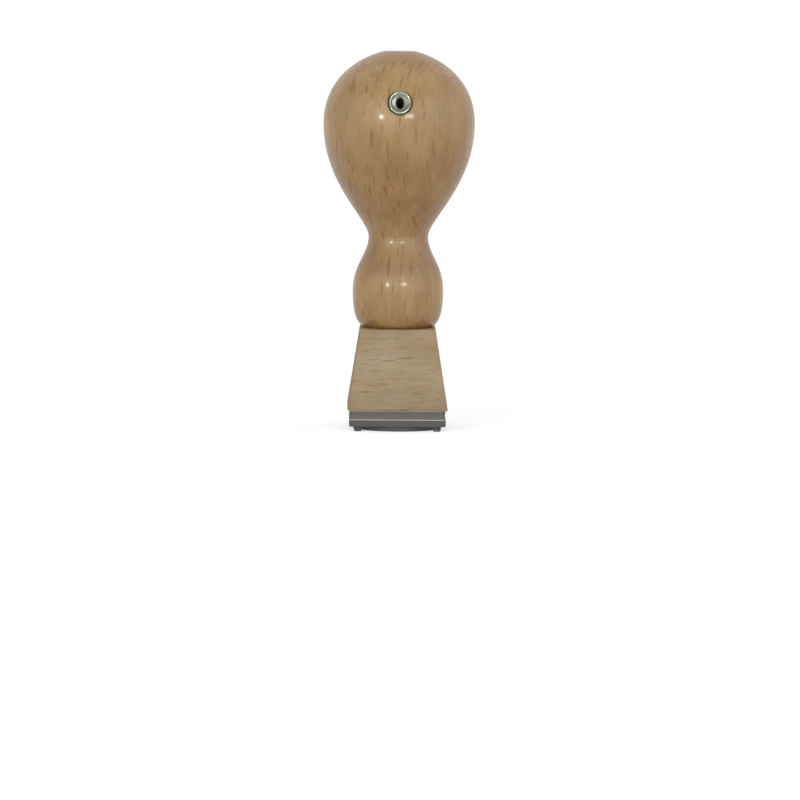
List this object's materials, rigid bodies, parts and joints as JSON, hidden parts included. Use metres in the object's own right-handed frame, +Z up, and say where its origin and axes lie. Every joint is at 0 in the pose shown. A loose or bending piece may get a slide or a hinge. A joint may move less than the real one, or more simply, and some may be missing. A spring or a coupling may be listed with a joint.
{
  "type": "hand stamp",
  "caption": "Small hand stamp: lacquered pear-shaped wooden handle with a front locator eyelet, on a tapered wooden block with a cushioned square rubber die.",
  "frame": {"origin": "centre of the print face, where the relief of the die meets the paper", "axes": "+Z up the handle's turning axis; -Y is the front, the side with the locator eyelet; +X to the right seen from the front"},
  "size_m": [0.0302, 0.0307, 0.0752],
  "materials": {
    "lacquered_beech": "gloss",
    "raw_beech": "matte",
    "nickel_eyelet": "polished",
    "screw_steel": "satin",
    "glue_film": "satin",
    "cushion_foam": "matte",
    "die_rubber": "matte"
  },
  "bodies": {
    "root": {"handle": "lacquered_beech", "locator_eyelet": "nickel_eyelet", "dowel_screw": "screw_steel", "mount_block": "raw_beech", "block_glue_film": "glue_film", "foam_cushion": "cushion_foam", "die_glue_film": "glue_film", "rubber_die": "die_rubber"}
  },
  "joints": []
}
